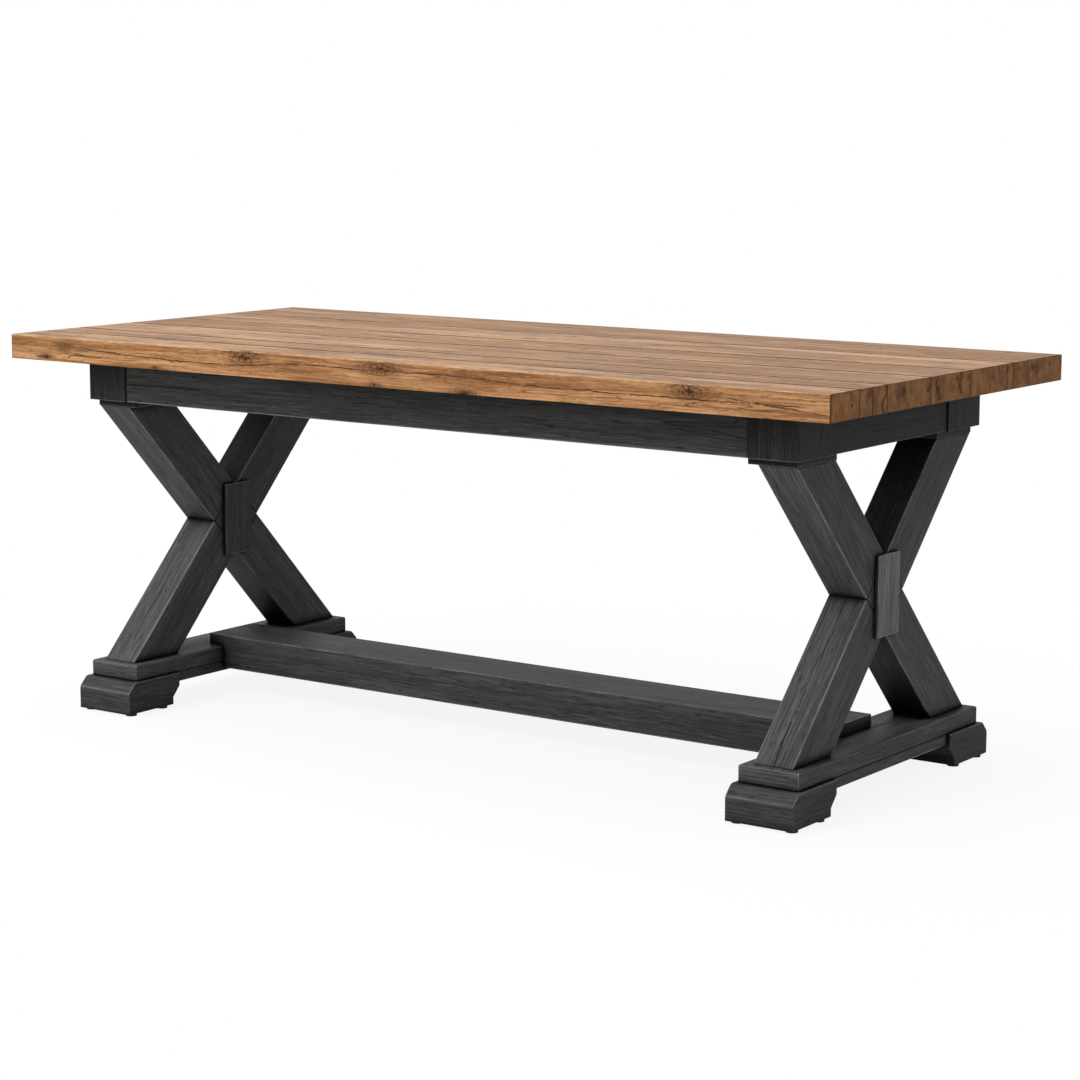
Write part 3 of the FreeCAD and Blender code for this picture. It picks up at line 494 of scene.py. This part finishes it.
def plank_cracks(shader, grain, faces, cracks, splits):
    """Hairlines all over a plank, with the cracks drawn along its front and down its ends."""
    x, y, z = shader.split(shader.place)
    wiggle = shader.noise(shader.place, (38.0, 38.0, 38.0), 4.0, 0.66)
    found = [shader.times(hairlines(shader, grain, (1.6, 26.0, 30.0), 0.006, 0.58), 0.7)]
    up = shader.shaken(z, wiggle, 0.008, TOP_CENTRE)
    breaks = shader.step(shader.noise(shader.place, (18.0, 1.0, 1.0), 4.0, 0.7), 0.36, 0.52,
                         0.15, 1.0)
    for points, width in cracks:
        drawn = drawn_crack(shader, x, up, points, width)
        found.append(shader.times(drawn, faces.front, breaks))
    across = shader.shaken(y, wiggle, 0.010)
    for centre, points, width in splits:
        path = [(TOP_CENTRE + height, aside) for height, aside in points]
        drawn = drawn_crack(shader, z, shader.minus(across, centre), path, width)
        found.append(shader.times(drawn, faces.end))
    return shader.largest(*found)


def seam_distance(shader, number, low, high):
    """How far a point lies from the nearest long joint with another plank."""
    y = shader.split(shader.place)[1]
    sides = []
    if number > 1:
        sides.append(shader.minus(y, low.y))
    if number < PLANK_COUNT:
        sides.append(shader.minus(high.y, y))
    return shader.smallest(*sides)


def with_seams(shader, colour, number, faces, beside, chip):
    """The oil and dirt of years in the seams, and the strips beside them that stayed honey."""
    worn = shader.math("MULTIPLY_ADD", chip, -SEAM_CHIP, beside)
    strip = shader.times(shader.rise(worn, 0.0, 0.003), shader.fall(worn, 0.005, 0.013, 0.5))
    patches = shader.noise(shader.place, (2.4, 20.0, 1.0), 2.0, shift=(0.0, number, 0.0))
    honey = shader.times(strip, faces.top, shader.rise(patches, 0.44, 0.54))
    colour = shader.mix(honey, colour, OLD_PALE)
    upward = shader.split(shader.normal)[2]
    on_top = shader.times(shader.fall(worn, *SEAM_DIRT, 0.97), shader.rise(upward, 0.3, 0.6))
    elsewhere = shader.times(shader.fall(beside, *SEAM_LINE, 0.8),
                             shader.math("ADD", faces.end, faces.under))
    seam = shader.largest(on_top, elsewhere)
    return shader.mix(seam, colour, OLD_DARK_AND_SHADE), seam


def with_arrises(shader, colour, beside, chip, seam):
    """Arrises: a painted highlight along the table's long edges, dark around the ends and
    corners.
    """
    bevel_x, bevel_y, bevel_z = shader.split(shader.rounded_normal(ARRIS_HIGHLIGHT_RADIUS))
    arris_highlight = shader.times(shader.rise(shader.absolute(bevel_y), 0.3, 0.6),
                          shader.rise(bevel_z, 0.3, 0.6), shader.fall(seam, 0.0, 0.3),
                          shader.rise(beside, 0.01, 0.02), shader.rise(chip, 0.42, 0.62, 0.55))
    colour = shader.mix(arris_highlight, colour, ARRIS_HIGHLIGHT)
    endward = shader.absolute(bevel_x)
    around_end = shader.times(shader.rise(endward, 0.1, 0.4),
                              shader.fall(endward, 0.85, 0.98, 0.9))
    x, y, _ = shader.split(shader.place)
    to_corner = shader.largest(shader.minus(TOP_HALF_LENGTH, shader.absolute(x)),
                               shader.minus(TOP_HALF_WIDTH, shader.absolute(y)))
    at_corner = shader.fall(to_corner, *CORNER_LINE, 0.85)
    return shader.mix(shader.largest(around_end, at_corner), colour, OLD_CORNER)


def reclaimed_wood(name, number, box, knots, cracks, marks, splits):
    """Old oiled pine: bleached top, honey edges, knots, cracks and dark seams."""
    shader = Shader(name)
    faces = plank_faces(shader)
    grain, reaches = plank_grain(shader, number, knots)
    colour = shader.mix(faces.top, edge_colour(shader, grain),
                        top_colour(shader, grain, PLANK_TONES[number - 1]))
    if reaches:
        colour = with_knots(shader, colour, shader.smallest(*reaches))
    ends = with_marks(shader, end_colour(shader, number), marks)
    colour = shader.mix(faces.end, colour, ends)
    crack = plank_cracks(shader, grain, faces, cracks, splits)
    colour = shader.mix(shader.times(crack, 0.92), colour, OLD_DARK_AND_SHADE)
    colour = shader.mix(shader.times(faces.under, 0.8), colour, UNDERSIDE)
    chip = shader.noise(shader.place, (22.0, 90.0, 90.0), 4.0, 0.7)
    beside = seam_distance(shader, number, *box)
    colour, seam = with_seams(shader, colour, number, faces, beside, chip)
    colour = with_arrises(shader, colour, beside, chip, seam)
    # Painted shade: the planks go dark where faces meet in a crevice.
    colour = shader.mix(shader.rise(shader.openness(TOP_CREVICE_SHADE), 0.35, 0.9), OLD_DARK_AND_SHADE, colour)
    fibre = shader.noise(grain, (9.0, 260.0, 260.0), 3.0, 0.65)
    relief = shader.minus(fibre, shader.times(crack, CRACK_DEPTH))
    roughness = shader.step(fibre, 0.3, 0.7, 0.56, 0.68)
    return shader.finish(colour, roughness, shader.bump(relief, TOP_RELIEF), specular=0.1)


# ---------------------------------------------------------------------------------------------
# The base: pine under a charcoal stain
# ---------------------------------------------------------------------------------------------

# How far on in the grain each next timber is cut, so that no two look alike.
TIMBER_STEP = (2.9, 0.37, 0.23)
# A joint's dark line: full at the first distance from it, and gone at the second.
JOINT_LINE = (0.0010, 0.0026)
# How high the bands and lines of the grain stand.
STAIN_RELIEF = 0.0004
# Painted light: how much lighter the stain is made on faces that look up.
STAIN_UPWARD_LIGHT = 1.25
# How far the painted shade reaches: in a crevice, in the corners, and up under the top.
CREVICE_SHADE_REACH = 0.02
CORNER_SHADE_REACH = 0.25
UNDER_TOP_SHADE_REACH = 0.3
# How far in from an edge the stain is rubbed off and a painted highlight shows, and how strong
# the painted highlight on the toes is.
EDGE_WEAR_AND_HIGHLIGHT_RADIUS = 0.0024
TOE_HIGHLIGHT_DEPTH = 0.14

# How light the stain is made on some timbers, by the start of their names; 1 on others: partly
# each timber's own tone, mostly painted light and shade, darker on the blocks, cap plates and end
# rails up under the top and lighter on the lower arms.
STAIN_LIGHT_AND_SHADE = (
    ("corner_block", 0.50), ("cap_plate", 0.62), ("apron_rail_front", 0.96),
    ("apron_rail_back", 0.96), ("apron_rail", 0.48), ("lower_arm", 1.25), ("upper_arm", 1.06),
    ("foot", 0.81), ("cover_plate_outer", 2.4), ("stretcher", 0.84), ("sled", 1.2),
)
# How open a place must be to escape the painted shade of the corners.
NOOK_BY_CORE = 0.8
NOOK_BY_SLED = 0.7
NOOK_ELSEWHERE = 0.55
# Cracks in the timbers: the axis that they open across, places on them, and their width.
TIMBER_CRACKS = {
    "lower_arm_front_right": ((1, ((0.768, -0.314, 0.102), (0.765, -0.280, 0.137),
                                   (0.764, -0.250, 0.168)), 0.0016),
                              (1, ((0.767, -0.232, 0.187), (0.762, -0.170, 0.252),
                                   (0.767, -0.130, 0.294), (0.765, -0.080, 0.345)), 0.0011)),
    "lower_arm_front_left": ((1, ((-0.760, -0.280, 0.137), (-0.764, -0.240, 0.179),
                                  (-0.760, -0.190, 0.231)), 0.0013),),
    "sled_cap_right": ((1, ((0.775, -0.105, 0.100), (0.752, -0.010, 0.100),
                            (0.755, 0.050, 0.100), (0.764, 0.115, 0.100)), 0.0022),),
    "stretcher": ((1, ((0.340, -0.040, 0.122), (0.470, -0.046, 0.122), (0.580, -0.030, 0.122),
                       (0.700, -0.034, 0.122)), 0.0026),),
    "apron_rail_front": ((2, ((-0.712, -0.331, 0.666), (-0.613, -0.331, 0.668),
                              (-0.521, -0.331, 0.667)), 0.0014),),
}

# What differs from one base timber to the next.
Timber = namedtuple("Timber", "rotation strength nook_limit joints cracks meets_core")


def arm_lean():
    """The angle of an arm from the horizontal, which the core's box shows."""
    low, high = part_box("crossing_core_right")
    return math.atan2(high.z - low.z, high.y - low.y)


def grain_rotation(name):
    """The rotation that brings the grain of a base timber onto x."""
    if name in ("apron_rail_front", "apron_rail_back", "stretcher") or name.startswith("foot"):
        return ALONG_X
    if name.startswith(("corner_block", "cover_plate", "crossing_core")):
        return ALONG_Z
    if "_arm_" in name:
        side = 1 if "_back_" in name else -1
        level = 1 if name.startswith("upper") else -1
        return (-side * level * arm_lean(), 0.0, -math.pi / 2)
    return ALONG_Y


def joint_lines(name):
    """The dark lines where a timber meets the next one: an axis, and a place along it."""
    block_low, block_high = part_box("corner_block_front_right")
    along, across = block_low.x, block_high.y
    if name in ("apron_rail_front", "apron_rail_back"):
        return (0, -along), (0, along)
    if name.startswith("apron_rail"):
        return (1, across), (1, -across)
    if name.startswith("corner_block"):
        return (0, -along), (0, along), (1, across), (1, -across)
    if name.startswith("sled"):
        return ((2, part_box("sled_cap_right")[0].z),)
    if "_arm_" in name:
        return (2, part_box("sled_cap_right")[1].z), (2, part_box("cap_plate_front_right")[0].z)
    return ()


def timber_called(name):
    """What is special about the base timber with this name."""
    strength = next((share for start, share in STAIN_LIGHT_AND_SHADE if name.startswith(start)), 1.0)
    meets_core = "_arm_" in name or name.startswith("crossing_core")
    nook_limit = NOOK_ELSEWHERE
    if meets_core:
        nook_limit = NOOK_BY_CORE
    elif name.startswith("sled"):
        nook_limit = NOOK_BY_SLED
    return Timber(grain_rotation(name), strength, nook_limit, joint_lines(name),
                  TIMBER_CRACKS.get(name, ()), meets_core)


def core_gap(shader):
    """The distance from the seam around the diamond-shaped core of an X frame."""
    low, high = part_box("crossing_core_right")
    half_width, half_height = high.y, (high.z - low.z) / 2
    _, y, z = shader.split(shader.place)
    across = shader.math("DIVIDE", shader.absolute(y), half_width)
    up = shader.math("DIVIDE", shader.apart(z, (low.z + high.z) / 2), half_height)
    thickness = half_width * half_height / math.hypot(half_width, half_height)
    return shader.times(shader.apart(shader.math("ADD", across, up), 1.0), thickness)


def stained_grain(shader, seed, rotation):
    """A base timber's grain space. On sawn ends it is turned: rings show as lines across."""
    point = shader.mapping(shader.place, rotation=rotation)
    point = shader.mapping(point, location=[seed * step for step in TIMBER_STEP])
    crosswise = shader.mapping(point, rotation=(0.0, 0.0, math.pi / 2))
    endward = shader.absolute(shader.split(shader.mapping(shader.normal, rotation=rotation))[0])
    point = shader.mix(shader.rise(endward, 0.75, 0.8), point, crosswise, kind="VECTOR")
    return drifting(shader, point, 0.006, (2.4, 8.0, 8.0))


def stain_colour(shader, grain, bands, lines):
    """Charcoal stain on open grain: slow bands, fine lines, and dark dashes."""
    fibre = shader.noise(grain, (22.0, 520.0, 520.0), 2.0, 0.6)
    dash = shader.noise(grain, (26.0, 190.0, 190.0), 3.0, 0.66, shift=(9.0, 1.0, 4.0))
    colour = shader.ramp(shader.rise(bands, 0.3, 0.7), STAIN_DARK, STAIN_MIDDLE, STAIN_PALE)
    colour = shader.mix(shader.fall(lines, 0.38, 0.52, 0.6), colour, STAIN_DARK_LINE)
    colour = shader.mix(shader.rise(lines, 0.57, 0.72, 0.38), colour, STAIN_PALE_LINE)
    colour = shader.mix(shader.rise(fibre, 0.54, 0.7, 0.35), colour, STAIN_FIBRE)
    return shader.mix(shader.rise(dash, 0.6, 0.7, 0.8), colour, STAIN_DASH)


def with_painted_shade(shader, colour, upward, timber):
    """Painted shade: the stain made near black up under the top, in the corners, and under the
    slanting arms.
    """
    height = shader.split(shader.place)[2]
    under_top_shade = shader.times(shader.rise(height, 0.2, 0.5),
                             shader.fall(shader.openness(UNDER_TOP_SHADE_REACH), 0.3, 0.85, 0.85))
    colour = shader.mix(under_top_shade, colour, STAIN_BLACK_AND_SHADE)
    nook_shade = shader.fall(shader.openness(CORNER_SHADE_REACH), 0.15, timber.nook_limit, 0.92)
    colour = shader.mix(nook_shade, colour, STAIN_BLACK_AND_SHADE)
    if timber.meets_core:
        # painted shade, most of all under the slanting arms, near the sled rail
        under_arm_shade = shader.times(shader.fall(height, 0.11, 0.24, 0.85),
                                 shader.fall(upward, -0.6, -0.3))
        colour = shader.mix(under_arm_shade, colour, STAIN_BLACK_AND_SHADE)
    return colour


def with_rubbing(shader, colour, upward, open_air, strength):
    """Open edges, rubbed lighter in places and given a painted highlight, and a painted highlight
    on the rounding of the toes.
    """
    rub = shader.step(shader.noise(shader.place, (14.0, 14.0, 14.0), 3.0, 0.6), 0.35, 0.6,
                      0.45, 1.0)
    wear_and_highlight = shader.times(shader.edge_wear_and_highlight(EDGE_WEAR_AND_HIGHLIGHT_RADIUS), rub, shader.rise(open_air, 0.75, 0.95),
                        min(strength, 1.0) ** 1.5)
    colour = shader.mix(wear_and_highlight, colour, EDGE_WEAR_AND_HIGHLIGHT)
    # painted highlight: only the rounding of the toes has such a slope
    scuff = shader.times(shader.rise(upward, 0.1, 0.35), shader.fall(upward, 0.5, 0.66), rub,
                         TOE_HIGHLIGHT_DEPTH)
    return shader.mix(scuff, colour, TOE_HIGHLIGHT)


def with_joints(shader, colour, timber):
    """Dark lines where the timber meets the next one."""
    place = shader.split(shader.place)
    gaps = [shader.apart(place[axis], line) for axis, line in timber.joints]
    if timber.meets_core:
        gaps.append(core_gap(shader))
    for gap in gaps:
        colour = shader.mix(shader.fall(gap, *JOINT_LINE, 0.9), colour, STAIN_BLACK_AND_SHADE)
    return colour


def stained_wood(name, seed, timber):
    """Pine under a charcoal stain: fine grain still shows, edges are rubbed lighter with a
    painted highlight, and light and shade are painted in.
    """
    shader = Shader(name)
    grain = stained_grain(shader, seed, timber.rotation)
    bands = shader.noise(grain, (2.0, 34.0, 34.0), 5.0, 0.66)
    lines = shader.noise(grain, (9.0, 260.0, 260.0), 3.0, 0.65)
    colour = stain_colour(shader, grain, bands, lines)
    crack = shader.largest(hairlines(shader, grain, (1.3, 16.0, 16.0), 0.005, 0.6),
                           *[split_along(shader, timber.rotation, *drawn)
                             for drawn in timber.cracks])
    colour = shader.mix(shader.times(crack, 0.85), colour, STAIN_BLACK_AND_SHADE)
    upward = shader.split(shader.normal)[2]
    # Painted light: each timber's share of light, and more of it on faces that look up.
    colour = shader.scaled(colour, shader.step(upward, 0.5, 0.9, timber.strength,
                                               STAIN_UPWARD_LIGHT * timber.strength))
    colour = with_painted_shade(shader, colour, upward, timber)
    open_air = shader.openness(CREVICE_SHADE_REACH)
    colour = with_rubbing(shader, colour, upward, open_air, timber.strength)
    colour = with_joints(shader, colour, timber)
    # Painted shade: near black where faces meet in a crevice.
    colour = shader.mix(shader.rise(open_air, 0.5, 0.95), STAIN_BLACK_AND_SHADE, colour)
    relief = shader.minus(shader.math("MULTIPLY_ADD", bands, 0.5, lines),
                          shader.times(crack, CRACK_DEPTH))
    roughness = shader.step(bands, 0.3, 0.7, 0.42, 0.56)
    return shader.finish(colour, roughness, shader.bump(relief, STAIN_RELIEF), specular=0.05)


# ---------------------------------------------------------------------------------------------
# Bare wood, steel and rubber
# ---------------------------------------------------------------------------------------------

def plain_wood(name, pale, dark, rotation=ALONG_X):
    """Planed bare wood, for the pieces that no one sees."""
    shader = Shader(name)
    point = drifting(shader, shader.mapping(shader.place, rotation=rotation), 0.008,
                     (1.6, 8.0, 8.0))
    bands = shader.noise(point, (1.2, 60.0, 60.0), 3.0)
    fibre = shader.noise(point, (8.0, 400.0, 400.0), 3.0, 0.6)
    colour = shader.mix(shader.rise(bands, 0.3, 0.7), dark, pale)
    colour = shader.mix(shader.rise(fibre, 0.5, 0.8, 0.3), colour, dark)
    return shader.finish(colour, 0.65, shader.bump(fibre, 0.0003))


def screw_steel():
    """Zinc-plated steel with a slight mottle."""
    shader = Shader("zinc_plate")
    mottle = shader.noise(shader.place, (260.0, 260.0, 260.0), 3.0)
    colour = shader.mix(mottle, ZINC_DARK, ZINC_PALE)
    return shader.finish(colour, shader.step(mottle, 0.3, 0.7, 0.28, 0.45),
                         shader.bump(mottle, 0.0001), metallic=1.0)


def glide_rubber():
    """Dark moulded rubber, scuffed pale where it slides."""
    shader = Shader("glide_rubber")
    scuff = shader.noise(shader.place, (120.0, 40.0, 120.0), 3.0)
    pits = shader.noise(shader.place, (900.0, 900.0, 900.0))
    colour = shader.mix(shader.rise(scuff, 0.5, 0.7, 0.4), RUBBER, RUBBER_SCUFF)
    return shader.finish(colour, 0.75, shader.bump(pits, 0.0002), specular=0.3)


# ---------------------------------------------------------------------------------------------
# Materials on the pieces
# ---------------------------------------------------------------------------------------------

def dress(piece, material):
    """Put a material into every slot of a piece."""
    if not piece.material_slots:
        piece.data.materials.append(material)
    for slot in piece.material_slots:
        slot.material = material


def plank_material(number):
    """Reclaimed wood for a plank, with the knots, cracks and marks that lie on it."""
    name = f"top_plank_{number}"
    low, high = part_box(name)
    knots, cracks = [], []
    if number == 1:
        knots = [((along, low.y, TOP_CENTRE + up), size) for along, up, size in FRONT_KNOTS]
        cracks = FRONT_CRACKS
    marks = [mark for mark in END_MARKS if low.y < mark[0] < high.y]
    splits = [split for split in END_SPLITS if low.y < split[0] < high.y]
    return reclaimed_wood(f"{name}_wood", number, (low, high), knots, cracks, marks, splits)


def base_material(name, seed):
    """The material of any piece that isn't a plank."""
    if name.startswith("top_batten"):
        return plain_wood(f"{name}_wood", BATTEN_PALE, BATTEN_DARK, ALONG_Y)
    if name == "plank_splines" or name.endswith("_tenons"):
        return plain_wood(f"{name}_wood", TENON_PALE, TENON_DARK)
    if name.endswith("screws"):
        return screw_steel()
    if name == "glides":
        return glide_rubber()
    return stained_wood(f"{name}_wood", seed, timber_called(name))


for number in range(1, PLANK_COUNT + 1):
    dress(nodes[f"top_plank_{number}"], plank_material(number))
for seed, name in enumerate(sorted(nodes)):
    if not name.startswith("top_plank"):
        dress(nodes[name], base_material(name, seed))


# ---------------------------------------------------------------------------------------------
# Camera, light and floor
# ---------------------------------------------------------------------------------------------

# The photograph's camera: the focal length in its own pixels, the sensor's width in
# millimetres, and where it stood and how it was turned.
FOCAL_PIXELS = 2840.05
PHOTO_PIXELS = 1080
SENSOR = 36.0
CAMERA_PLACE = (3.1892, -4.4084, 1.2532)
CAMERA_YAW = math.radians(35.4411)
CAMERA_PITCH = math.radians(9.1126)
CAMERA_ROLL = math.radians(0.1446)


def make_camera():
    """The camera, set up where the photograph's camera stood."""
    forward = Vector((-math.sin(CAMERA_YAW) * math.cos(CAMERA_PITCH),
                      math.cos(CAMERA_YAW) * math.cos(CAMERA_PITCH), -math.sin(CAMERA_PITCH)))
    right = Vector((math.cos(CAMERA_YAW), math.sin(CAMERA_YAW), 0.0))
    up = right.cross(forward)
    rolled_right = right * math.cos(CAMERA_ROLL) + up * math.sin(CAMERA_ROLL)
    rolled_up = up * math.cos(CAMERA_ROLL) - right * math.sin(CAMERA_ROLL)
    turn = Matrix((rolled_right, rolled_up, -forward)).transposed().to_4x4()
    data = bpy.data.cameras.new("camera")
    data.sensor_fit = "HORIZONTAL"
    data.sensor_width = SENSOR
    data.lens = FOCAL_PIXELS / PHOTO_PIXELS * SENSOR
    data.clip_end = 100.0
    camera = bpy.data.objects.new("camera", data)
    camera.matrix_world = Matrix.Translation(CAMERA_PLACE) @ turn
    bpy.context.scene.collection.objects.link(camera)
    bpy.context.scene.camera = camera


def make_lamp(name, place, target, size, watts):
    """A rectangular softbox that points at a target."""
    data = bpy.data.lights.new(name, "AREA")
    data.shape = "RECTANGLE"
    data.size, data.size_y = size
    data.energy = watts
    lamp = bpy.data.objects.new(name, data)
    lamp.location = place
    lamp.rotation_euler = (Vector(target) - Vector(place)).to_track_quat("-Z", "Y").to_euler()
    bpy.context.scene.collection.objects.link(lamp)


# The studio's light comes from the front left and from above; the right side stays dim.
BRIGHT_SIDE = (-0.48, -0.42, 0.77)
FILL_DIM = 0.05
FILL_BRIGHT = 0.88
# The cosines of the angle to the bright side where the fill is dim and where it is bright.
DIM_COSINE = -0.8
BRIGHT_COSINE = 0.9


def make_world():
    """Plain white where it is seen or mirrored, and elsewhere a fill, dimmer at the right."""
    world = bpy.data.worlds.new("studio")
    bpy.context.scene.world = world
    world.use_nodes = True
    studio = NodeTree(world.node_tree)
    direction = studio.add("ShaderNodeTexCoord").outputs["Generated"]
    cosine = studio.vector("DOT_PRODUCT", direction, BRIGHT_SIDE)
    fill = studio.step(cosine, DIM_COSINE, BRIGHT_COSINE, FILL_DIM, FILL_BRIGHT)
    level = studio.mix(studio.seen_or_mirrored(), fill, 1.0, kind="FLOAT")
    background = studio.add("ShaderNodeBackground", {"Color": WHITE, "Strength": level})
    studio.add("ShaderNodeOutputWorld", {"Surface": background.outputs[0]})


FLOOR_SIZE = 30.0
# Near the table the floor is this much glow and the rest paint, so that the shadow shows; the
# glow takes over between these two distances, which count less along the table.
GLOW_NEAR = 0.88
FADE_START = 0.45
FADE_END = 1.5
FADE_STRETCH = (0.75, 1.0, 0.0)


def make_floor():
    """A pale floor that keeps the table's soft shadow and fades to plain white around it."""
    mesh = bpy.data.meshes.new("floor")
    half = FLOOR_SIZE / 2
    mesh.from_pydata([(-half, -half, 0), (half, -half, 0), (half, half, 0), (-half, half, 0)],
                     [], [(0, 1, 2, 3)])
    floor = bpy.data.objects.new("floor", mesh)
    bpy.context.scene.collection.objects.link(floor)

    shader = Shader("floor_paint")
    paint = shader.add("ShaderNodeBsdfDiffuse", {"Color": FLOOR_PAINT})
    glow = shader.add("ShaderNodeEmission", {"Color": WHITE, "Strength": 1.0})
    distance = shader.vector("LENGTH", shader.vector("MULTIPLY", shader.place, FADE_STRETCH))
    fade = shader.step(distance, FADE_START, FADE_END, GLOW_NEAR, 1.0)
    share = shader.times(fade, shader.seen_or_mirrored())
    mixed = shader.add("ShaderNodeMixShader",
                       {0: share, 1: paint.outputs[0], 2: glow.outputs[0]})
    shader.add("ShaderNodeOutputMaterial", {"Surface": mixed.outputs[0]})
    mesh.materials.append(shader.material)


make_camera()
make_world()
make_floor()
make_lamp("key", place=(-1.6, -4.0, 3.8), target=(0.0, 0.0, 0.4), size=(2.4, 2.4), watts=180.0)
make_lamp("top", place=(-0.6, 0.2, 4.2), target=(0.0, 0.0, 0.7), size=(3.2, 2.4), watts=75.0)
bpy.context.scene.view_settings.view_transform = "Standard"
